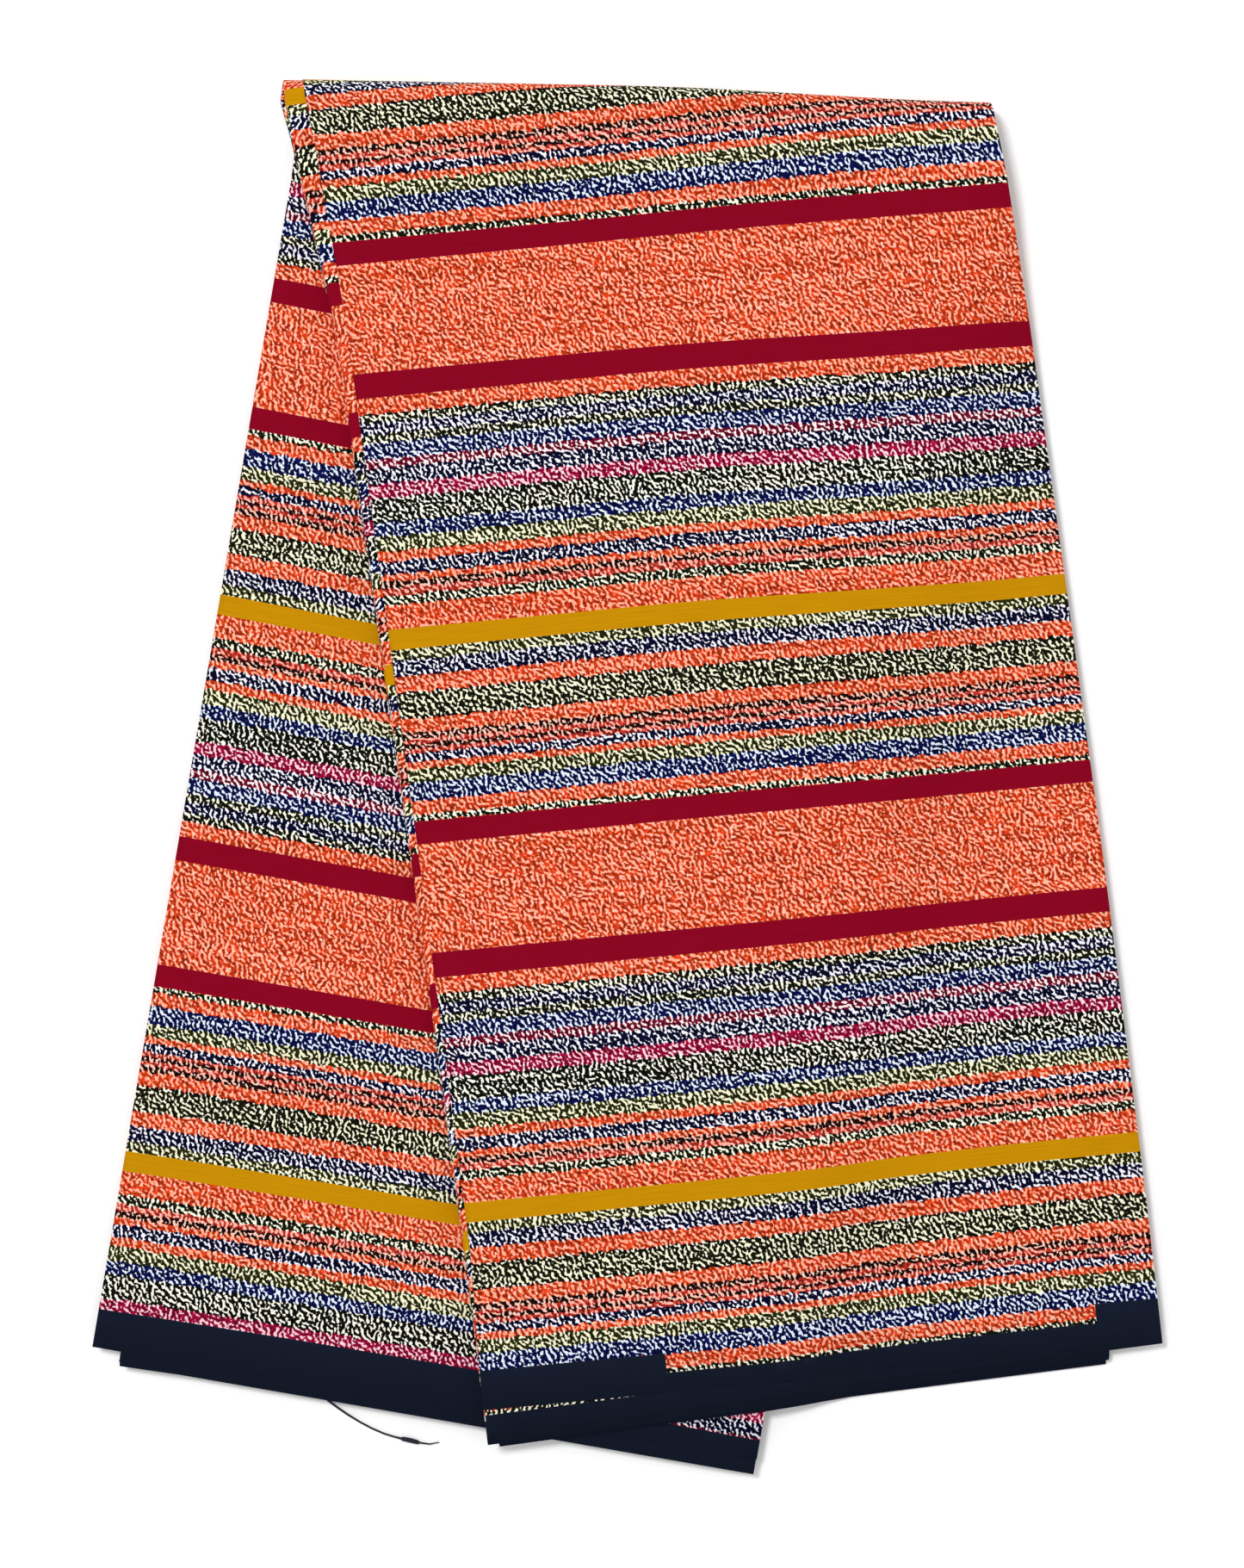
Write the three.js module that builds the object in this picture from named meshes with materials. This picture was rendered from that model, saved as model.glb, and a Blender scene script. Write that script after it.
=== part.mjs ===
// A length of printed cotton, folded back and forth into long panels, and then folded over at its middle,
// so that it lies flat in two halves. The upper half runs down and to the right, and the lower half shows
// to the left of it. Millimetres. X runs to the right, Y away from the viewer's feet, and Z up from the
// surface that the cloth lies on.

import * as THREE from 'three';

// The cloth
const CLOTH_WIDTH = 1190; // selvedge to selvedge, the length of the bundle when it is opened out
const PANEL_WIDTH = 305; // from one long fold to the next
const SHEET = 1.0; // thickness of each modelled layer, which stands for three of the thin cloth
const LAYER_PITCH = 1.4; // from the middle of one layer to the middle of the next
const INNER_RADIUS = 0.6; // inside the bend, so the two halves lie twice this far apart

// How the bundle lies
// The upper half leans this far to the right of straight down.
const UPPER_LEAN = THREE.MathUtils.degToRad(7.7);
const BEND_TILT = THREE.MathUtils.degToRad(-1.1); // the line of the bend, against X
const BEND_MIDDLE = { x: 9.47, y: 299.92 }; // where the bundle's middle line crosses the line of the bend
const BEND_SAG = { drop: 4.4, start: -10, end: 150, fade: 130 }; // the right end of the bend has slid down
// The layers lie looser in places, as a share of their height, in a wave that runs a little askew.
const SOFTNESS = { rise: 0.03, length: 420, askew: 0.4 };

// The upper half comes down to the surface beside the right edge of the lower half. The slope starts a
// little outside that edge, and grows from nothing at the bend. Its columns spread evenly on the lower half.
const SLOPE = { start: 2, width: 40, steps: 5, closest: 1.2, grows: 60, spread: 0.5 };

// Each row is one edge of a layer, from the cut edge of the top layer to the cut edge of the lowest, and the
// rows between are long folds. The side is -1 at the left and 1 at the right. out says how far the edge
// stands out past the bundle's side, at each place of STAND_OUT_AT, which goes from the end of the upper
// half, 1, over the bend, 0, to the end of the lower half, -1. ends says how far the selvedge has slid past
// its even place at the end of the upper half and of the lower half.
const STAND_OUT_AT = [1, 0.6, 0.17, 0.04, 0, -0.06, -1];
const EDGES = [
  { side: -1, out: [0.0, -4.8, -4.5, -2.5, -1.5, -6.0, -17.5], ends: { upper: -17.0, lower: 11.0 } },
  { side: 1, out: [-1.0, 1.8, 1.4, -0.8, -2.5, -2.0, -1.0], ends: { upper: -7.5, lower: 9.5 } },
  { side: -1, out: [1.0, -2.0, 0.0, 7.6, 8.5, -6.0, -5.0], ends: { upper: -8.0, lower: -8.0 } },
  { side: 1, out: [-24.5, -14.0, -3.0, -3.8, -4.0, -3.0, -2.0], ends: { upper: -6.0, lower: -3.0 } },
  { side: -1, out: [-6.5, -4.0, -1.0, 1.0, 3.0, -8.0, -17.0], ends: { upper: -9.0, lower: 2.0 } },
  { side: 1, out: [-27.0, -16.0, -4.0, -4.0, -4.0, -2.0, 0.0], ends: { upper: -10.5, lower: 1.0 } },
  { side: -1, out: [-10.0, -6.0, -1.0, -0.3, 0.0, -1.5, -3.6], ends: { upper: -14.0, lower: -5.4 } },
];

// How finely the solid is divided
const BEND_STEPS = 10;
const UPPER_STEPS = 11;
const LOWER_STEPS = 9;
const CROWDING = { upper: 1.3, lower: 1.6 }; // the stations lie closer together near the bend
const COLUMN_PASSES = 4;
const FOLD_STEPS = 4;

// The thread that has come loose at the selvedge: the middle line that it follows on the surface.
const THREAD = { diameter: 1.0, sides: 8, steps: 22, lift: 0.02 };
const THREAD_ROUTE = [
  [-135.2, -277.5], [-130.4, -280.2], [-125.0, -282.8], [-119.6, -285.3], [-114.1, -287.7], [-108.6, -289.9],
  [-103.4, -291.8], [-98.2, -293.6], [-93.0, -295.1], [-88.0, -295.9], [-83.0, -295.7],
];

const LAYER_COUNT = EDGES.length - 1;
const HALF_PANEL = PANEL_WIDTH / 2;
const STACK = (LAYER_COUNT - 1) * LAYER_PITCH + SHEET;
const BEND_HEIGHT = INNER_RADIUS + STACK;
const SKEW = UPPER_LEAN - BEND_TILT; // between the bundle's length and the square across the bend
const FOLD_RADIUS = LAYER_PITCH / 2;
const FIRST_SLOPE_COLUMN = 2;
const COLUMNS = FIRST_SLOPE_COLUMN + SLOPE.steps + 1;

const clothMaterial = new THREE.MeshStandardMaterial({ color: 0xd8644a, roughness: 0.9, metalness: 0 });
const threadMaterial = new THREE.MeshStandardMaterial({ color: 0x23263a, roughness: 0.9, metalness: 0 });

// A smooth step from 0 to 1 between two values.
const ease = THREE.MathUtils.smoothstep;

// How far layer number layer, from 0 on top, lies from the middle of the bend.
function layerRadius(layer) {
  return INNER_RADIUS + SHEET / 2 + (LAYER_COUNT - 1 - layer) * LAYER_PITCH;
}

const MIDDLE_RADIUS = layerRadius(2);

// How far an edge stands out at a share of the way along, from the end of the lower half to the upper's.
function standOut(edge, share) {
  for (let k = 1; k < STAND_OUT_AT.length; k++) {
    const part = (share - STAND_OUT_AT[k - 1]) / (STAND_OUT_AT[k] - STAND_OUT_AT[k - 1]);
    if (part <= 1) return THREE.MathUtils.lerp(edge.out[k - 1], edge.out[k], part);
  }
  return edge.out[STAND_OUT_AT.length - 1];
}

// The name of the end that a station's slide is taken from.
function endOf(station) {
  return station.share > 0 ? 'upper' : 'lower';
}

// Where an edge's middle line lies across the bundle, measured to the right. A fold's outer skin is there.
function edgeAcross(edge, share) {
  const isFold = edge !== EDGES[0] && edge !== EDGES[LAYER_COUNT];
  const inset = isFold ? FOLD_RADIUS + SHEET / 2 : 0;
  return edge.side * (HALF_PANEL + standOut(edge, share) - inset);
}

// The points of the back-and-forth section, in order along the cloth. Each lies on a layer at a column, or
// on the turn of a fold. face is the direction out of the printed face, across the bundle and out from the
// bend's middle.
function sectionPoints() {
  const points = [];
  for (let layer = 0; layer < LAYER_COUNT; layer++) {
    const rightward = EDGES[layer].side < 0;
    const printed = layer % 2 === 0 ? 1 : -1;
    for (let step = 0; step <= COLUMNS; step++) {
      const column = rightward ? step : COLUMNS - step;
      points.push({ layer, column, radius: layerRadius(layer), face: { across: 0, out: printed } });
    }
    if (layer === LAYER_COUNT - 1) continue;
    const edge = EDGES[layer + 1];
    for (let step = 1; step < FOLD_STEPS; step++) {
      const turn = (Math.PI * step) / FOLD_STEPS;
      points.push({
        fold: layer + 1,
        bulge: edge.side * FOLD_RADIUS * Math.sin(turn),
        radius: layerRadius(layer) - FOLD_RADIUS + FOLD_RADIUS * Math.cos(turn),
        face: { across: printed * edge.side * Math.sin(turn), out: printed * Math.cos(turn) },
      });
    }
  }
  return points;
}

// The stations along the bundle, from the lower end to the upper. turn is the angle round the bend, and share
// is how far a station has come from the bend to the selvedge.
function stations() {
  const list = [];
  for (let step = LOWER_STEPS; step > 0; step--) {
    list.push({ turn: -Math.PI / 2, share: -((step / LOWER_STEPS) ** CROWDING.lower) });
  }
  for (let step = 0; step <= BEND_STEPS; step++) {
    list.push({ turn: -Math.PI / 2 + (Math.PI * step) / BEND_STEPS, share: 0 });
  }
  for (let step = 1; step <= UPPER_STEPS; step++) {
    list.push({ turn: Math.PI / 2, share: (step / UPPER_STEPS) ** CROWDING.upper });
  }
  return list;
}

// The distance from the bend's line to a point of the cloth, along the flat of one half, for a place across.
function distanceFromBend(across, slid, radius, share) {
  const half = Math.sign(share);
  const length = CLOTH_WIDTH / 2 + slid;
  const toSelvedge = length * Math.cos(SKEW) - half * across * Math.sin(SKEW) - (Math.PI / 2) * radius;
  return Math.abs(share) * toSelvedge;
}

// The left and the right edge of a layer.
function edgesOf(layer) {
  const [first, second] = [EDGES[layer], EDGES[layer + 1]];
  return first.side < 0 ? [first, second] : [second, first];
}

// How far a layer has slid at a place across, between what its two edges say.
function slidOf(layer, across, station) {
  const [left, right] = edgesOf(layer);
  const end = endOf(station);
  const leftAcross = edgeAcross(left, station.share);
  const part = (across - leftAcross) / (edgeAcross(right, station.share) - leftAcross);
  return THREE.MathUtils.lerp(left.ends[end], right.ends[end], part);
}

// Where a column of the slope would lie, at one place beside the lower half for every layer. The columns
// draw together where they would run past the layer's own right edge.
function slopeAcross(column, layer, station, start) {
  const right = edgeAcross(edgesOf(layer)[1], station.share);
  const radius = layerRadius(layer);
  const place = HALF_PANEL + SLOPE.start + ((column - FIRST_SLOPE_COLUMN) * SLOPE.width) / SLOPE.steps;
  let across = start;
  for (let pass = 0; pass < COLUMN_PASSES; pass++) {
    const slid = slidOf(layer, across, station);
    const distance = distanceFromBend(across, slid, radius, Math.max(station.share, 0));
    across = place - (2 * distance + (Math.PI / 2) * (radius + MIDDLE_RADIUS)) * Math.sin(SKEW);
    across = Math.min(across, right - (COLUMNS - column) * SLOPE.closest);
  }
  return across;
}

// Where a column of a layer lies across the bundle. The first and the last column are the layer's edges.
function columnAcross(column, layer, station) {
  const [left, right] = edgesOf(layer).map((edge) => edgeAcross(edge, station.share));
  if (column === 0) return left;
  if (column === COLUMNS) return right;
  if (column < FIRST_SLOPE_COLUMN) return (left + columnAcross(FIRST_SLOPE_COLUMN, layer, station)) / 2;
  const even = THREE.MathUtils.lerp(left, right, column / COLUMNS);
  const spread = ease(-station.share, 0, SLOPE.spread);
  return THREE.MathUtils.lerp(slopeAcross(column, layer, station, even), even, spread);
}

// How far the upper half has come down at a point, from 0 on the lower half to 1 on the surface beside it.
function slopeShare(alongBend, distance) {
  const toMiddle = distance + (Math.PI / 2) * MIDDLE_RADIUS;
  const lowerAcross = alongBend * Math.cos(SKEW) + toMiddle * Math.sin(SKEW);
  const outside = lowerAcross - HALF_PANEL - SLOPE.start;
  return ease(outside, 0, SLOPE.width) * ease(distance, 0, SLOPE.grows);
}

// How much the softness lifts the cloth at a place, as a share of its height.
function softRise(x, y) {
  const circle = (2 * Math.PI) / SOFTNESS.length;
  const wave = Math.sin(circle * (x + SOFTNESS.askew * y)) * Math.cos(circle * y);
  return (SOFTNESS.rise * (1 + wave)) / 2;
}

// The point in space for a place across and along the bundle, at a radius from the bend's middle.
function place(across, slid, middleRadius, skinRadius, station) {
  const { share, turn } = station;
  const distance = distanceFromBend(across, slid, middleRadius, share);
  const half = share === 0 ? Math.sign(turn) : Math.sign(share);
  const flat = share === 0 ? turn * middleRadius : half * (distance + (Math.PI / 2) * middleRadius);
  const alongBend = (across + flat * Math.sin(SKEW)) / Math.cos(SKEW);
  const outFromLine = distance - Math.cos(turn) * skinRadius;
  let height = BEND_HEIGHT + Math.sin(turn) * skinRadius;
  if (half > 0) height -= slopeShare(alongBend, distance) * (BEND_HEIGHT + INNER_RADIUS);
  const fade = Math.exp(-((distance / BEND_SAG.fade) ** 2));
  const sag = BEND_SAG.drop * ease(alongBend, BEND_SAG.start, BEND_SAG.end) * fade;
  const x = BEND_MIDDLE.x + alongBend * Math.cos(BEND_TILT) + outFromLine * Math.sin(BEND_TILT);
  const y = BEND_MIDDLE.y + alongBend * Math.sin(BEND_TILT) - outFromLine * Math.cos(BEND_TILT) - sag;
  return new THREE.Vector3(x, y, height * (1 + softRise(x, y)));
}

// One point of the section at one station, on the printed face, +1, or the other, -1.
function skinPoint(point, station, faceSide) {
  const offset = (faceSide * SHEET) / 2;
  const skinRadius = point.radius + offset * point.face.out;
  if (point.fold !== undefined) {
    const edge = EDGES[point.fold];
    const across = edgeAcross(edge, station.share) + point.bulge + offset * point.face.across;
    return place(across, edge.ends[endOf(station)], point.radius, skinRadius, station);
  }
  const across = columnAcross(point.column, point.layer, station);
  return place(across, slidOf(point.layer, across, station), point.radius, skinRadius, station);
}

// The closed solid: a grid of the section's two skins at every station, joined at the cut edges and the
// selvedges.
function foldedCloth() {
  const section = sectionPoints();
  const along = stations();
  const ring = 2 * section.length;
  const positions = [];
  for (const station of along) {
    for (const point of section) positions.push(...skinPoint(point, station, +1).toArray());
    for (const point of section.toReversed()) positions.push(...skinPoint(point, station, -1).toArray());
  }
  const indices = [];
  const quad = (a, b, c, d) => indices.push(a, c, b, a, d, c);
  for (let row = 0; row < along.length - 1; row++) {
    for (let k = 0; k < ring; k++) {
      const next = (k + 1) % ring;
      quad(row * ring + k, row * ring + next, (row + 1) * ring + next, (row + 1) * ring + k);
    }
  }
  const last = (along.length - 1) * ring;
  for (let k = 0; k < section.length - 1; k++) {
    const opposite = ring - 1 - k;
    quad(opposite, opposite - 1, k + 1, k);
    quad(last + k, last + k + 1, last + opposite - 1, last + opposite);
  }
  const geometry = new THREE.BufferGeometry();
  geometry.setAttribute('position', new THREE.Float32BufferAttribute(positions, 3));
  geometry.setIndex(indices);
  geometry.computeVertexNormals();
  return geometry;
}

// The loose thread is a thin round tube that lies on the surface.
function looseThread() {
  const height = THREAD.diameter / 2 + THREAD.lift;
  const route = new THREE.CatmullRomCurve3(THREAD_ROUTE.map(([x, y]) => new THREE.Vector3(x, y, height)));
  const section = new THREE.Shape();
  for (let side = 0; side < THREAD.sides; side++) {
    const angle = (2 * Math.PI * side) / THREAD.sides;
    const corner = [Math.cos(angle), Math.sin(angle)].map((value) => (value * THREAD.diameter) / 2);
    if (side === 0) section.moveTo(...corner);
    else section.lineTo(...corner);
  }
  section.closePath();
  return new THREE.ExtrudeGeometry(section, { extrudePath: route, steps: THREAD.steps, bevelEnabled: false });
}

const cloth = new THREE.Mesh(foldedCloth(), clothMaterial);
cloth.name = 'cloth';

const thread = new THREE.Mesh(looseThread(), threadMaterial);
thread.name = 'loose_thread';

const fabric = new THREE.Group();
fabric.add(cloth, thread);

export default fabric;
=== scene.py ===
import math

import bpy
import numpy as np
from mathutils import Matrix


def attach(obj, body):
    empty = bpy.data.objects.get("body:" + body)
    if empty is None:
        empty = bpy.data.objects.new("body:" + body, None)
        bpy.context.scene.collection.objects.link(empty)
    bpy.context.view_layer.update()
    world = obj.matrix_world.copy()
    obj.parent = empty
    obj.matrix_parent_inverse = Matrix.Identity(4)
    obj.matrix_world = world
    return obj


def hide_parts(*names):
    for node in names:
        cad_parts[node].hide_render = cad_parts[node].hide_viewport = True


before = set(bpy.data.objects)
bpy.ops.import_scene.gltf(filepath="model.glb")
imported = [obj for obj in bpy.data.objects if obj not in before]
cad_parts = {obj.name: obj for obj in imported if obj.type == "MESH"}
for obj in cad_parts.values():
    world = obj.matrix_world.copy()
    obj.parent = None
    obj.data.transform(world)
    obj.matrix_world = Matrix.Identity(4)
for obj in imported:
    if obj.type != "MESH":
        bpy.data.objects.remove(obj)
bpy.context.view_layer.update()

# The camera looks straight down on the cloth, as in the photograph. At the cloth's height its picture is
# 0.554 m wide and 0.698 m high.
CAMERA_HEIGHT = 1.6
CAMERA_PLACE = (-0.0022, -0.0024)
PICTURE_HEIGHT = 0.6982
CLOTH_HEIGHT = 0.010
camera_data = bpy.data.cameras.new("camera")
camera_data.sensor_width = 36
camera_data.lens = camera_data.sensor_width * (CAMERA_HEIGHT - CLOTH_HEIGHT) / PICTURE_HEIGHT
camera = bpy.data.objects.new("camera", camera_data)
camera.location = (*CAMERA_PLACE, CAMERA_HEIGHT)
bpy.context.collection.objects.link(camera)
bpy.context.scene.camera = camera


# The loose thread: one spun cotton thread of the dark selvedge, which has come out of the cloth at the
# lower end's left corner and lies on the surface in a slack curve. Matted fibres make one bit of it thick.
THREAD_DIAMETER = 0.0010
THREAD_CLEARANCE = 0.00002
THREAD_ROUTE = [
    (-0.1352, -0.2775), (-0.1304, -0.2812), (-0.1250, -0.2849), (-0.1196, -0.2882), (-0.1141, -0.2911),
    (-0.1086, -0.2934), (-0.1042, -0.2947), (-0.1013, -0.2954), (-0.1004, -0.2956), (-0.0969, -0.2963),
    (-0.0938, -0.2971), (-0.0929, -0.2973), (-0.0885, -0.2980), (-0.0840, -0.2972),
]
THREAD_SWELLING = (1.0, 1.0, 1.0, 0.9, 0.9, 0.9, 0.9, 1.0, 2.0, 2.2, 2.0, 0.9, 0.7, 0.4)
# The thick bit lifts the thread beside it a little off the surface.
KNOT_X, KNOT_LIFT, KNOT_SPREAD = -0.0969, 0.00066, 0.012
route_x, route_y = np.array(THREAD_ROUTE).T
route_lift = KNOT_LIFT * np.exp(-((route_x - KNOT_X) / KNOT_SPREAD) ** 2)
route = np.column_stack([route_x, route_y, THREAD_DIAMETER / 2 + THREAD_CLEARANCE + route_lift])


def linear(colour):
    """Linear red, green, blue and full alpha of an sRGB hex colour."""
    shares = [int(colour[k:k + 2], 16) / 255 for k in (1, 3, 5)]
    return (*[c / 12.92 if c <= 0.04045 else ((c + 0.055) / 1.055) ** 2.4 for c in shares], 1.0)


def add_node(tree, kind, inputs, **settings):
    """Adds a shader node. inputs maps a socket's name or number to the socket that feeds it or to a value."""
    node = tree.nodes.new("ShaderNode" + kind)
    for name, value in settings.items():
        setattr(node, name, value)
    for name, value in inputs.items():
        if isinstance(value, bpy.types.NodeSocket):
            tree.links.new(value, node.inputs[name])
        else:
            node.inputs[name].default_value = value
    return node


def new_material(name):
    """An empty node material and its surface output."""
    material = bpy.data.materials.new(name)
    material.use_nodes = True
    material.node_tree.nodes.clear()
    return material, add_node(material.node_tree, "OutputMaterial", {})


# Spun cotton is matt. Its twisted ply is painted as slanting bands of lighter and darker navy, 0.75 mm long:
# painted light and shade on the twist's ridges and grooves, which the smooth tube doesn't have.
PLY_LENGTH = 0.000748
thread_material, surface = new_material("spun_navy_cotton_thread")
tree = thread_material.node_tree
coordinates = add_node(tree, "TexCoord", {}).outputs["Object"]
painted_ply_shade = add_node(tree, "TexWave", {"Vector": coordinates, "Scale": math.pi / 10 / PLY_LENGTH,
                                 "Distortion": 1.5}, wave_type="BANDS", bands_direction="DIAGONAL")
# Painted shade: the darker navy stands for the shade in the twist's grooves, the lighter one for the light on
# its ridges.
navy = add_node(tree, "Mix", {0: painted_ply_shade.outputs["Fac"], 6: linear("#070A14"), 7: linear("#161D30")},
                data_type="RGBA")
cotton = add_node(tree, "BsdfPrincipled", {"Base Color": navy.outputs[2], "Roughness": 0.9})
tree.links.new(cotton.outputs[0], surface.inputs["Surface"])

curve = bpy.data.curves.new("loose_cotton_thread", "CURVE")
curve.dimensions = "3D"
curve.bevel_depth = THREAD_DIAMETER / 2
curve.bevel_resolution = 3
curve.use_fill_caps = True
spline = curve.splines.new("POLY")
spline.points.add(len(route) - 1)
spline.points.foreach_set("co", np.column_stack([route, np.ones(len(route))]).ravel())
spline.points.foreach_set("radius", THREAD_SWELLING)
curve.materials.append(thread_material)
loose_thread = bpy.data.objects.new("loose_cotton_thread", curve)
bpy.context.collection.objects.link(loose_thread)
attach(loose_thread, "root")
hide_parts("loose_thread")


# The cloth: one full piece of plain-woven cotton, 1.19 m by 5.49 m, printed with bands of short strokes
# that run along its length. It is folded back and forth in 305 mm panels, and the flat bundle is then
# folded over at its middle, askew, so that its two halves fan apart.
FLAT_WIDTH = 1.19
PANEL = 0.305
PANELS = 18
THICKNESS = 0.0003
PITCH = 0.000453
INNER_RADIUS = 0.0006
BEND_HEIGHT = 0.0086
# The upper half leans to the right of straight down, and the line of the bend tilts the other way.
LEAN = math.radians(7.7)
TILT = math.radians(-1.1)
SKEW = LEAN - TILT
BEND_MIDDLE = (0.00947, 0.29992)
# The bend's right end has slid down, the stack is looser in soft waves, and the upper half comes down to
# the surface beside the lower half.
SAG_DROP, SAG_START, SAG_END, SAG_FADE = 0.0044, -0.010, 0.150, 0.130
SOFT_RISE, SOFT_LENGTH, SOFT_ASKEW = 0.03, 0.420, 0.4
SLOPE_START, SLOPE_WIDTH, SLOPE_GROWS = 0.002, 0.040, 0.060
# The edges that show, in mm. The first eight values of a row say how far the edge stands out of the panel's
# width at the places of STAND_OUT_AT, from the end of the upper half, 1, over the bend, 0, to the end of
# the lower half, -1. The next two say how far the selvedge slid past its even place on the upper and the
# lower half. The last two say how much further from the bend the print lies beside the bend on the upper
# half, and on all of the lower half but its end. Edges 0 and 18 are the cut ends, and the others are folds.
# Even ones are at the left.
STAND_OUT_AT = (1.0, 0.88, 0.6, 0.17, 0.04, 0.0, -0.06, -1.0)
KNOWN_EDGES = {
    0: (0.0, -4.0, -4.8, -4.5, -1.5, 0.0, -6.0, -17.5, -17.0, 7.5, 0.0, 0.0),
    2: (-1.0, -2.0, -2.0, 0.0, 7.6, 8.5, -6.0, -5.0, -6.4, -8.0, 7.0, 0.0),
    16: (-6.5, -6.0, -4.0, -1.0, 1.0, 3.0, -8.0, -17.0, -10.0, 1.0, 0.0, 0.0),
    18: (-10.0, -9.0, -6.0, -1.0, -0.3, 0.0, -1.5, -3.6, -14.0, -6.2, 0.0, 0.8),
    1: (-1.0, 0.4, 1.8, 1.4, -0.8, -2.5, -2.0, -1.0, -5.0, 9.5, 0.0, 0.0),
    3: (-24.5, -20.5, -14.0, -3.0, -3.8, -4.0, -3.0, -2.0, -6.0, -3.0, 0.0, 0.0),
    15: (-25.0, -22.0, -15.5, -3.8, -4.0, -4.0, -3.0, -0.8, -8.0, 0.7, 0.0, 0.0),
    17: (-25.5, -23.0, -16.0, -4.0, -4.0, -4.0, -2.0, -0.8, -10.5, -7.5, 0.0, 7.5),
}
EDGE_JITTER = 0.0004
COLUMN_PLACES = np.arange(-0.1440, 0.1441, 0.0120)
CLOSEST_COLUMNS = 0.0004
FOLD_TURNS = (0.25, 0.5, 0.75)
LOWER_ROWS, BEND_ROWS, UPPER_ROWS = 24, 14, 32
CROWDING = 1.3
# The printed bands don't lie quite even on the cloth. SEEN_LENGTH is the print's width in the measure in
# which its bands repeat evenly, and the lower half's is stretched by LOWER_CLOSER. Near the bend the print
# is drawn up by BEND_PULL. RIGHT_PULL is the same for the right side of the upper half, at distances from
# the bend, and PRINT_BOW is how far the bands near the lower end bow towards the bend.
SEEN_LENGTH = 1.206
LOWER_CLOSER = 1.024
BEND_PULL, BEND_PULL_REACH = 0.0035, 0.07
AHEAD_STARTS = (-0.15, 0.15)
RIGHT_SIDE = (-0.03, 0.12)
RIGHT_PULL_AT = (0.02, 0.046, 0.108, 0.22, 0.305, 0.362, 0.47)
RIGHT_PULL = (0.0045, 0.0047, -0.0005, -0.0032, -0.0014, 0.0, 0.0022)
PRINT_BOW = 0.0014
LOWER_END = (-0.9, -0.4)
PRINT_TURNS = (-0.005, 0.06)


def ease(value, start, end):
    """A smooth step from 0 to 1 as the value goes from start to end: three squares of its share less two
    cubes."""
    share = np.clip((value - start) / (end - start), 0, 1)
    return share * share * (3 - 2 * share)


# The hidden folds copy the nearest known one of the same side, a little in or out.
chance = np.random.default_rng(7)
edge_rows = np.zeros((PANELS + 1, len(KNOWN_EDGES[0])))
for parity in (0, 1):
    known = sorted(k for k in KNOWN_EDGES if k % 2 == parity)
    folds = np.arange(parity, PANELS + 1, 2)
    for fold in folds:
        nearest = min(known, key=lambda k: abs(k - fold))
        jitter = 0.0 if fold in known else chance.uniform(-EDGE_JITTER, EDGE_JITTER)
        edge_rows[fold] = np.array(KNOWN_EDGES[nearest]) / 1000
        edge_rows[fold, :8] += jitter

# The rows of the mesh go from the lower end round the bend to the upper one. share is how far a row has
# come from the bend to its end, and turn is its angle round the bend.
lower = -np.linspace(1, 0, LOWER_ROWS, endpoint=False) ** CROWDING
upper = np.linspace(0, 1, UPPER_ROWS + 1)[1:] ** CROWDING
share = np.concatenate([lower, np.zeros(BEND_ROWS + 1), upper])[:, None]
quarter = math.pi / 2
turn = np.concatenate([np.full(LOWER_ROWS, -quarter), np.linspace(-quarter, quarter, BEND_ROWS + 1),
                       np.full(UPPER_ROWS, quarter)])[:, None]
half = np.where(share == 0, np.sign(turn), np.sign(share))
stand_out = np.stack([np.interp(share[:, 0], STAND_OUT_AT[::-1], row[:8][::-1]) for row in edge_rows],
                     axis=1)
side = np.where(np.arange(PANELS + 1) % 2 == 0, -1, 1)
fold_radius = PITCH / 2
inset = np.full(PANELS + 1, fold_radius + THICKNESS / 2)
inset[[0, PANELS]] = 0
edge_across = side * (PANEL / 2 + stand_out - inset)

# The back-and-forth section, as one array of points for every row: the place across, the distance from the
# bend's middle, which way the printed face looks, the four values of each end, and the place along the
# cloth's length.
across, radius, face_across, face_out, ends, length_place = ([] for _ in range(6))
for panel in range(PANELS):
    left, right = (panel, panel + 1) if panel % 2 == 0 else (panel + 1, panel)
    print_up = 1 if panel % 2 == 0 else -1
    panel_radius = INNER_RADIUS + THICKNESS / 2 + (PANELS - 1 - panel) * PITCH
    gap = CLOSEST_COLUMNS * np.arange(len(COLUMN_PLACES), 0, -1)
    inner = np.minimum(COLUMN_PLACES, edge_across[:, [right]] - gap)
    inner = np.maximum(inner, edge_across[:, [left]] + gap[::-1])
    columns = np.hstack([edge_across[:, [left]], inner, edge_across[:, [right]]])
    part = (columns - columns[:, [0]]) / (columns[:, [-1]] - columns[:, [0]])
    if panel % 2:
        columns, part = columns[:, ::-1], part[:, ::-1]
    count = columns.shape[1]
    across.append(columns)
    radius.append(np.full(count, panel_radius))
    face_across.append(np.zeros(count))
    face_out.append(np.full(count, print_up))
    ends.append(edge_rows[left, 8:] + (edge_rows[right, 8:] - edge_rows[left, 8:]) * part[..., None])
    length_place.append(PANEL * (panel + (part if panel % 2 == 0 else 1 - part)))
    if panel == PANELS - 1:
        continue
    for step in FOLD_TURNS:
        angle = math.pi * step
        fold = panel + 1
        across.append(edge_across[:, [fold]] + side[fold] * fold_radius * math.sin(angle))
        radius.append([panel_radius - fold_radius + fold_radius * math.cos(angle)])
        face_across.append([print_up * side[fold] * math.sin(angle)])
        face_out.append([print_up * math.cos(angle)])
        ends.append(np.tile(edge_rows[fold, 8:], (len(share), 1, 1)))
        length_place.append(np.full((len(share), 1), PANEL * fold))
across, length_place = np.hstack(across), np.hstack(length_place)
slid_upper, slid_lower, ahead, behind = np.moveaxis(np.hstack(ends), -1, 0)
radius, face_across, face_out = (np.concatenate(x) for x in (radius, face_across, face_out))


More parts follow.
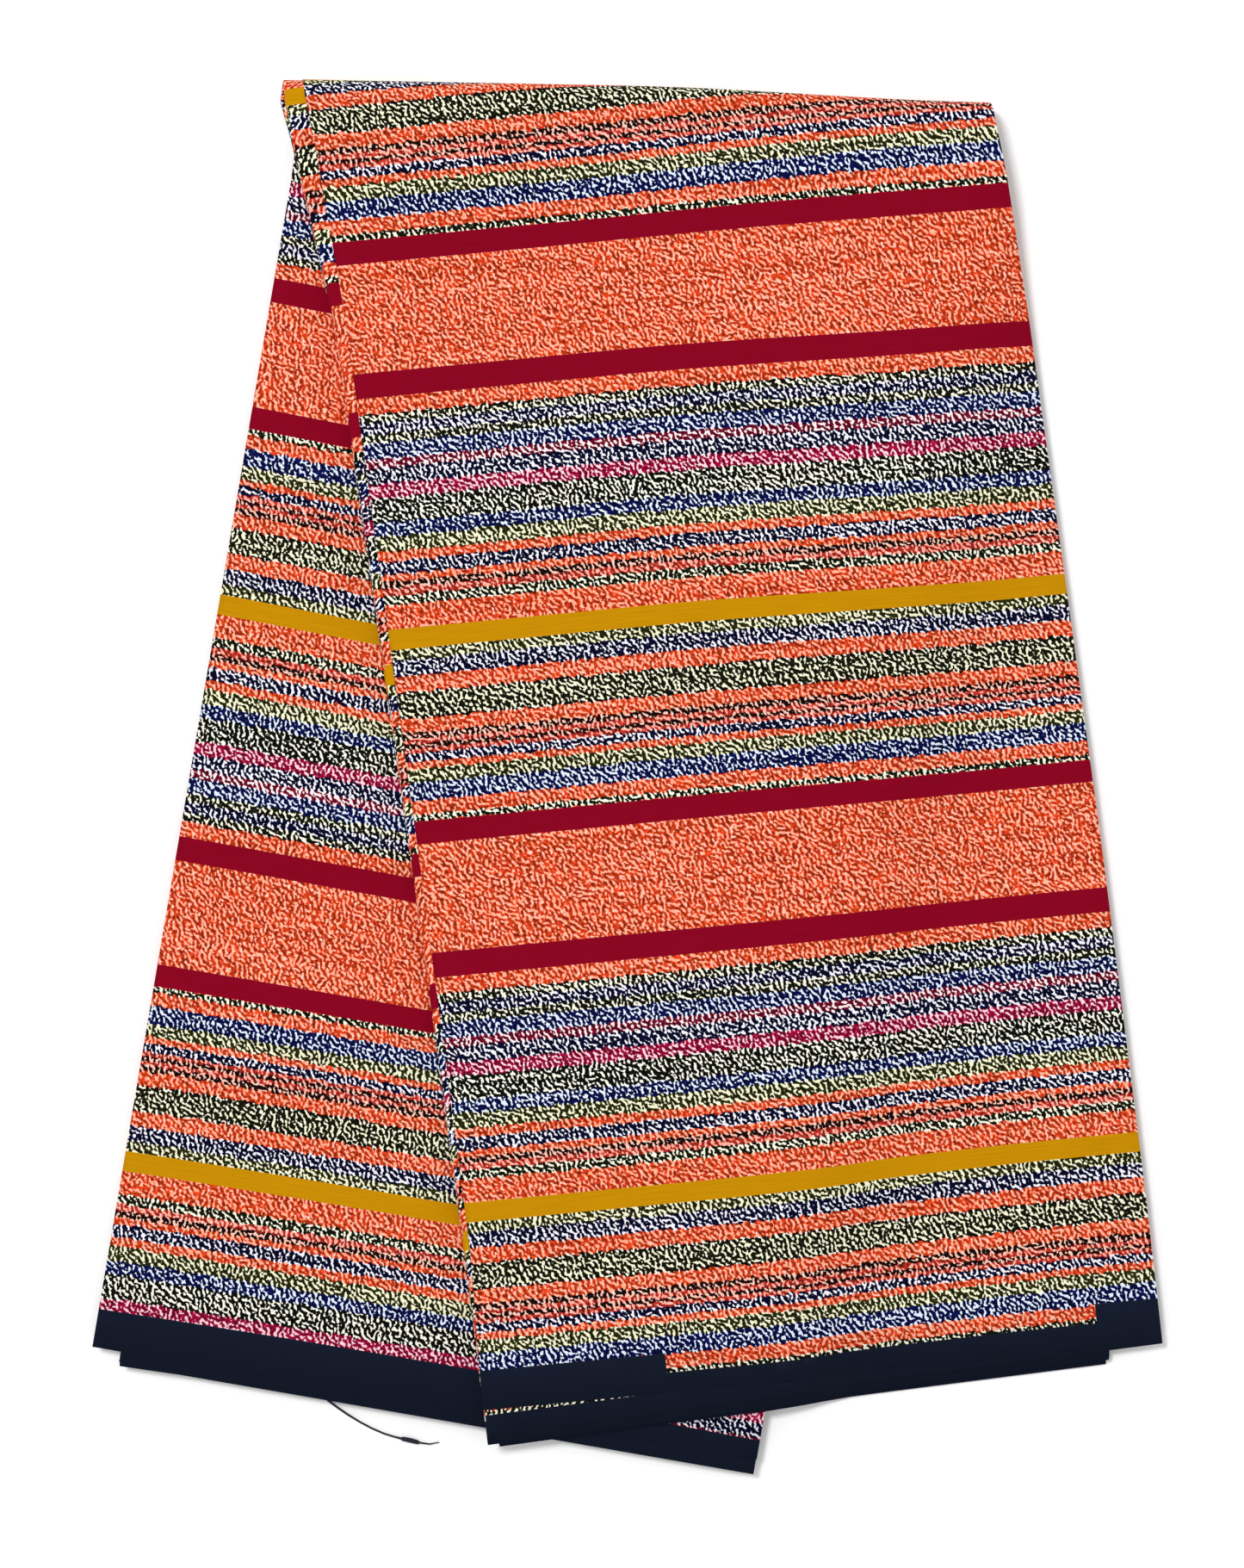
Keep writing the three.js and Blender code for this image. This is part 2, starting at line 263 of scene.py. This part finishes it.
def skin(face_side):
    """The points of one skin of the cloth and their print coordinates, for the printed face, +1, or the
    other, -1.

    The flat strip is wrapped without stretch round an axis that is skewed to it. A point's place along the
    axis is its place across the strip plus its distance along the flat times the skew's sine, all over the
    skew's cosine. Its distance along the flat is an arc round the bend, the turn times the radius, and a
    straight line beyond it."""
    offset = face_side * THICKNESS / 2
    across_skin = across + offset * face_across
    skin_radius = radius + offset * face_out
    slid = np.where(share > 0, slid_upper, slid_lower)
    to_end = (FLAT_WIDTH / 2 + slid) * math.cos(SKEW) - half * across_skin * math.sin(SKEW)
    distance = np.abs(share) * (to_end - quarter * radius)
    flat = np.where(share == 0, turn * radius, half * (distance + quarter * radius))
    along = (across_skin + flat * math.sin(SKEW)) / math.cos(SKEW)
    out = distance - np.cos(turn) * skin_radius
    height = BEND_HEIGHT + np.sin(turn) * skin_radius
    middle_arc = quarter * (INNER_RADIUS + BEND_HEIGHT) / 2
    outside = along * math.cos(SKEW) + (distance + middle_arc) * math.sin(SKEW) - PANEL / 2 - SLOPE_START
    come_down = ease(outside, 0, SLOPE_WIDTH) * ease(distance, 0, SLOPE_GROWS)
    height = height - np.where(half > 0, come_down, 0) * (BEND_HEIGHT + INNER_RADIUS)
    sag = SAG_DROP * ease(along, SAG_START, SAG_END) * np.exp(-(distance / SAG_FADE) ** 2)
    x = BEND_MIDDLE[0] + along * math.cos(TILT) + out * math.sin(TILT)
    y = BEND_MIDDLE[1] + along * math.sin(TILT) - out * math.cos(TILT) - sag
    wave = np.sin(2 * math.pi * (x + SOFT_ASKEW * y) / SOFT_LENGTH) * np.cos(2 * math.pi * y / SOFT_LENGTH)
    z = height * (1 + SOFT_RISE * (1 + wave) / 2)

    # The print's place, counted from the upper end and from the lower end, which join at the bend.
    bundle_place = (flat + across_skin * math.sin(SKEW)) / math.cos(SKEW)
    pull = BEND_PULL * (1 - ease(bundle_place, 0, BEND_PULL_REACH))
    pull = pull - ahead * (1 - share) * ease(share, *AHEAD_STARTS)
    pull = pull + ease(across_skin, *RIGHT_SIDE) * np.interp(bundle_place, RIGHT_PULL_AT, RIGHT_PULL)
    from_upper_end = FLAT_WIDTH / 2 + slid_upper - bundle_place - pull
    higher = ease(share, *LOWER_END)
    bow = PRINT_BOW * (1 - (across_skin / PANEL * 2) ** 2)
    print_slid = slid_lower + behind * higher - bow * (1 - higher)
    from_lower_end = SEEN_LENGTH - LOWER_CLOSER * (FLAT_WIDTH / 2 + print_slid + bundle_place)
    width_place = from_upper_end + (from_lower_end - from_upper_end) * ease(-bundle_place, *PRINT_TURNS)
    return np.stack([x, y, z, length_place, width_place * FLAT_WIDTH / SEEN_LENGTH], axis=-1)


def new_piece(name, vertices, faces, material):
    """A smooth mesh object with one material."""
    mesh = bpy.data.meshes.new(name)
    mesh.from_pydata(vertices, [], faces)
    mesh.shade_smooth()
    mesh.materials.append(material)
    piece = bpy.data.objects.new(name, mesh)
    bpy.context.collection.objects.link(piece)
    return piece


# The mesh: the printed skin and the other one back again make a closed ring in every row, and the two ends
# are capped.
ring = np.concatenate([skin(1), skin(-1)[:, ::-1]], axis=1)
rows, around = ring.shape[:2]
points = ring[..., :3].reshape(-1, 3)
print_places = ring[..., 3:].reshape(-1, 2)
row, k = np.meshgrid(np.arange(rows - 1), np.arange(around), indexing="ij")
following = (k + 1) % around
sides = np.stack([row * around + k, (row + 1) * around + k, (row + 1) * around + following,
                  row * around + following], axis=-1).reshape(-1, 4)
k = np.arange(around // 2 - 1)
last = (rows - 1) * around
low_end = np.stack([around - 1 - k, k, k + 1, around - 2 - k], axis=-1)
high_end = np.stack([last + k, last + around - 1 - k, last + around - 2 - k, last + k + 1], axis=-1)
faces = np.concatenate([sides, low_end, high_end])

cloth_material, surface = new_material("woven_cotton_printed_with_stroke_bands")
folded_cloth = new_piece("folded_printed_cotton", points.tolist(), faces.tolist(), cloth_material)
print_map = folded_cloth.data.uv_layers.new(name="cloth_metres")
print_map.data.foreach_set("uv", print_places[faces.ravel()].ravel())

# The print repeats across the cloth's width. Each row of BANDS gives where a band ends, in mm from the
# repeat's start, and its kind. KINDS gives a kind's ground colour, its strokes' colour and the share of the
# area that the strokes cover.
REPEAT = 258.7
REPEAT_START = 203.9
KINDS = {
    "coral": ("#FFB090", "#CE3C16", 0.64),
    "pink": ("#FFAE9A", "#B22C20", 0.62),
    "dots": ("#FFF6E4", "#0A0808", 0.74),
    "dashes": ("#FFC4AE", "#1A0708", 0.68),
    "cream": ("#FBF9E2", "#141608", 0.66),
    "yellow": ("#F6F4CE", "#26280A", 0.63),
    "black": ("#FBF9EA", "#0C0E08", 0.67),
    "dark": ("#F8F6D6", "#161808", 0.67),
    "lilac": ("#F4F2FC", "#04072C", 0.68),
    "blue": ("#E4F0FF", "#040D48", 0.70),
    "magenta": ("#FFECEC", "#72082A", 0.66),
    "rose": ("#FFD6E2", "#960638", 0.70),
}
BANDS = [
    (17.3, "coral"), (18.6, "dots"), (21.7, "cream"), (27.0, "lilac"), (31.1, "cream"), (37.8, "blue"),
    (42.1, "magenta"), (49.4, "lilac"), (54.7, "rose"), (66.0, "black"), (72.3, "blue"), (79.7, "yellow"),
    (82.9, "coral"), (89.5, "lilac"), (92.4, "coral"), (95.1, "dashes"), (98.3, "pink"), (103.6, "cream"),
    (118.4, "coral"), (127.8, "yellow"), (134.9, "lilac"), (142.1, "coral"), (143.4, "dots"),
    (153.1, "dark"), (154.4, "dots"), (160.4, "coral"), (162.7, "dashes"), (165.3, "pink"),
    (167.0, "dashes"), (169.7, "pink"), (173.4, "lilac"), (176.8, "coral"), (182.1, "yellow"),
    (190.2, "blue"), (196.1, "coral"), (199.1, "cream"), (REPEAT, "coral"),
]
SOLID_BANDS = [(0.0, 10.2, "#88001F"), (113.9, 123.4, "#C68B00"), (199.1, 209.5, "#88001F")]
STROKE_PITCH = 2.3
# The selvedge's width in mm. Navy boxes widen it to BOX_WIDTH, at BOX_PERIOD from each other.
SELVEDGE = 8.8
BOX_WIDTH = 17.3
BOX_PERIOD, BOX_SHARE = 404.0, 0.52
BOX_STARTS = (277.0, 5288.0)


def maths(tree, operation, first, second=0.0, third=0.0):
    """The result of a Math node."""
    return add_node(tree, "Math", {0: first, 1: second, 2: third}, operation=operation).outputs[0]


def stepped_ramp(tree, factor, starts, colours):
    """A colour and an alpha that change in steps, from two colour ramps, because one has too few stops."""
    middle = len(starts) // 2
    ramps = []
    for chosen in (slice(0, middle), slice(middle, None)):
        node = add_node(tree, "ValToRGB", {"Fac": factor})
        ramp = node.color_ramp
        ramp.interpolation = "CONSTANT"
        for number, (start, colour) in enumerate(zip(starts[chosen], colours[chosen])):
            stop = ramp.elements[number] if number < 2 else ramp.elements.new(start)
            stop.position = start
            stop.color = colour
        ramps.append(node)
    later = maths(tree, "GREATER_THAN", factor, starts[middle])
    first, second = ramps
    colour = add_node(tree, "Mix", {0: later, 6: first.outputs[0], 7: second.outputs[0]}, data_type="RGBA")
    alpha = add_node(tree, "Mix", {0: later, 2: first.outputs[1], 3: second.outputs[1]})
    return colour.outputs[2], alpha.outputs[0]


# The cotton is woven and then printed. It is matt, with only a faint sheen on the weave.
tree = cloth_material.node_tree
print_place = add_node(tree, "UVMap", {}, uv_map="cloth_metres").outputs["UV"]
in_mm = add_node(tree, "VectorMath", {0: print_place, "Scale": 1000.0}, operation="SCALE").outputs[0]
axes = add_node(tree, "SeparateXYZ", {"Vector": in_mm})
along_mm, width_mm = axes.outputs["X"], axes.outputs["Y"]

# The labyrinth of short slanted strokes, evenly wide because it is the phase of a directed noise. Its waves
# are a stroke's pitch apart, their slant turns between 0 and 65 degrees, and a second noise breaks them up.
# Here and below, a noise's scale is one over its grain in mm: 8 mm for the slant, 1.7 mm for the breaks, 3 mm
# for the shaken edges, 6 mm for the patches and 1.8 mm for the flecks.
slant = add_node(tree, "TexNoise", {"Vector": in_mm, "Scale": 0.12, "Detail": 1.0}, noise_dimensions="2D")
slant = add_node(tree, "MapRange", {0: slant.outputs["Fac"], 1: 0.25, 2: 0.75, 3: 0.0,
                                    4: math.radians(65)}).outputs[0]
labyrinth = add_node(tree, "TexGabor", {"Vector": in_mm, "Scale": 0.75 / STROKE_PITCH, "Frequency": 1.333,
                                        "Anisotropy": 0.6, "Orientation": slant}, gabor_type="2D")
wave = maths(tree, "COSINE", maths(tree, "MULTIPLY", labyrinth.outputs["Phase"], 2 * math.pi))
breaks = add_node(tree, "TexNoise", {"Vector": in_mm, "Scale": 0.6, "Detail": 1.0}, noise_dimensions="2D")
wave = maths(tree, "ADD", wave, maths(tree, "MULTIPLY_ADD", breaks.outputs["Fac"], 4.4, -2.2))

# The bands' ragged edges follow the strokes, so the place across is shaken a little. Near the upper end's
# selvedge the bands lie up to 4.1 mm further from it.
shake = add_node(tree, "TexNoise", {"Vector": in_mm, "Scale": 0.35, "Detail": 1.0}, noise_dimensions="2D")
shake = maths(tree, "MULTIPLY_ADD", shake.outputs["Fac"], 3.0, -1.5)
seen_mm = maths(tree, "MULTIPLY", width_mm, SEEN_LENGTH / FLAT_WIDTH)
near_edge = add_node(tree, "MapRange", {0: seen_mm, 1: 40.0, 2: 160.0, 3: 4.1, 4: 0.0},
                     interpolation_type="SMOOTHSTEP").outputs[0]
print_mm = maths(tree, "SUBTRACT", seen_mm, near_edge)
in_repeat = maths(tree, "SUBTRACT", REPEAT_START, print_mm)
straight = maths(tree, "FRACT", maths(tree, "DIVIDE", in_repeat, REPEAT))
ragged = maths(tree, "FRACT", maths(tree, "DIVIDE", maths(tree, "SUBTRACT", in_repeat, shake), REPEAT))

# The band's colours and its share of ink, which also wavers in rows along the band.
starts = [0.0] + [end / REPEAT for end, _ in BANDS[:-1]]
grounds = [(*linear(KINDS[kind][0])[:3], KINDS[kind][2]) for _, kind in BANDS]
inks = [linear(KINDS[kind][1]) for _, kind in BANDS]
ground, ink_share = stepped_ramp(tree, ragged, starts, grounds)
ink, _ = stepped_ramp(tree, ragged, starts, inks)
row_place = add_node(tree, "VectorMath", {0: in_mm, 1: (0.008, 0.4, 1.0)}, operation="MULTIPLY").outputs[0]
print_rows = add_node(tree, "TexNoise", {"Vector": row_place, "Scale": 1.0, "Detail": 1.0},
                      noise_dimensions="2D")
ink_share = maths(tree, "ADD", ink_share, maths(tree, "MULTIPLY_ADD", print_rows.outputs["Fac"], 0.4, -0.2))
edge_wave = maths(tree, "COSINE", maths(tree, "MULTIPLY", ink_share, math.pi))
inside_stroke = maths(tree, "SUBTRACT", wave, edge_wave)
stroke = add_node(tree, "MapRange", {0: inside_stroke, 1: -0.15, 2: 0.15},
                  interpolation_type="SMOOTHSTEP").outputs[0]

# The ink is brighter in patches and darker in a stroke's core, and the ground has random pale flecks.
patches = add_node(tree, "TexNoise", {"Vector": in_mm, "Scale": 0.16, "Detail": 1.0}, noise_dimensions="2D")
brighter = add_node(tree, "MapRange", {0: patches.outputs["Fac"], 1: 0.35, 2: 0.7, 3: 0.85,
                                       4: 1.25}).outputs[0]
core = add_node(tree, "MapRange", {0: inside_stroke, 1: 0.8, 2: 1.8, 3: 1.12, 4: 0.40}).outputs[0]
brighter = maths(tree, "MULTIPLY", brighter, core)
ink = add_node(tree, "VectorMath", {0: ink, "Scale": brighter}, operation="SCALE").outputs[0]
flecks = add_node(tree, "TexNoise", {"Vector": in_mm, "Scale": 0.55, "Detail": 1.0}, noise_dimensions="2D")
fleck = add_node(tree, "MapRange", {0: flecks.outputs["Fac"], 1: 0.52, 2: 0.75, 3: 0.0, 4: 0.5}).outputs[0]
ground = add_node(tree, "Mix", {0: fleck, 6: ground, 7: linear("#FFF6EC")}, data_type="RGBA").outputs[2]
printed = add_node(tree, "Mix", {0: stroke, 6: ground, 7: ink}, data_type="RGBA").outputs[2]

# The solid bands have straight edges.
solid_starts, solid_colours = [], []
for start, end, colour in SOLID_BANDS:
    solid_starts += [start / REPEAT, end / REPEAT]
    solid_colours += [linear(colour), (*linear(colour)[:3], 0.0)]
solid, is_solid = stepped_ramp(tree, straight, solid_starts, solid_colours)
printed = add_node(tree, "Mix", {0: is_solid, 6: printed, 7: solid}, data_type="RGBA").outputs[2]

# Both selvedges are plain navy, and a box of the same navy reaches further in at intervals.
from_edge = maths(tree, "MINIMUM", width_mm, maths(tree, "SUBTRACT", FLAT_WIDTH * 1000, width_mm))
is_selvedge = maths(tree, "LESS_THAN", from_edge, SELVEDGE)
far_edge = maths(tree, "GREATER_THAN", width_mm, FLAT_WIDTH * 1000 / 2)
box_start = add_node(tree, "Mix", {0: far_edge, 2: BOX_STARTS[0], 3: BOX_STARTS[1]}).outputs[0]
from_box = maths(tree, "SUBTRACT", along_mm, box_start)
box_turn = maths(tree, "FRACT", maths(tree, "DIVIDE", from_box, BOX_PERIOD))
is_box = maths(tree, "MULTIPLY", maths(tree, "LESS_THAN", from_edge, BOX_WIDTH),
               maths(tree, "LESS_THAN", box_turn, BOX_SHARE))
is_navy = maths(tree, "MAXIMUM", is_selvedge, is_box)
printed = add_node(tree, "Mix", {0: is_navy, 6: printed, 7: linear("#141B2C")}, data_type="RGBA").outputs[2]

# The warp threads show as faint streaks along the cloth, about 0.5 mm apart and 25 mm long, which is a little
# coarser than the real threads so that they show.
streak_place = add_node(tree, "VectorMath", {0: in_mm, 1: (0.04, 2.2, 1.0)}, operation="MULTIPLY").outputs[0]
streaks = add_node(tree, "TexNoise", {"Vector": streak_place, "Scale": 1.0, "Detail": 2.0},
                   noise_dimensions="2D").outputs["Fac"]
shade = add_node(tree, "MapRange", {0: streaks, 1: 0.3, 2: 0.7, 3: 0.78, 4: 0.90}).outputs[0]
printed = add_node(tree, "VectorMath", {0: printed, "Scale": shade}, operation="SCALE").outputs[0]
weave = add_node(tree, "Bump", {"Strength": 0.15, "Distance": 0.0002, "Height": streaks}).outputs[0]
cotton = add_node(tree, "BsdfPrincipled", {"Base Color": printed, "Roughness": 0.85, "Normal": weave,
                                           "Specular IOR Level": 0.05})
tree.links.new(cotton.outputs[0], surface.inputs["Surface"])
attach(folded_cloth, "root")
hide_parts("cloth")


# The floor and the light: a plain white table top, painted matt so that it shows soft shadows only, one
# wide soft lamp from the upper left, and an even pale sky.
floor_material, surface = new_material("matt_white_table_top")
tree = floor_material.node_tree
paint = add_node(tree, "BsdfPrincipled", {"Base Color": linear("#F7F7F7"), "Roughness": 0.9,
                                          "Specular IOR Level": 0.1})
tree.links.new(paint.outputs[0], surface.inputs["Surface"])
FLOOR_HALF = 3.0
corners = [(-FLOOR_HALF, -FLOOR_HALF, 0), (FLOOR_HALF, -FLOOR_HALF, 0), (FLOOR_HALF, FLOOR_HALF, 0),
           (-FLOOR_HALF, FLOOR_HALF, 0)]
floor = new_piece("floor", corners, [(0, 1, 2, 3)], floor_material)

lamp_data = bpy.data.lights.new("lamp", "AREA")
lamp_data.energy = 125.0
lamp_data.size = 1.0
lamp = bpy.data.objects.new("lamp", lamp_data)
lamp.location = (-1.6, 1.5, 4.2)
lamp.rotation_euler = (math.radians(-19.7), math.radians(-20.9), 0)
bpy.context.collection.objects.link(lamp)

world = bpy.data.worlds.new("pale_sky")
world.use_nodes = True
world.node_tree.nodes["Background"].inputs["Color"].default_value = (1.0, 1.0, 1.0, 1.0)
world.node_tree.nodes["Background"].inputs["Strength"].default_value = 0.75
bpy.context.scene.world = world
bpy.context.scene.view_settings.view_transform = "Standard"
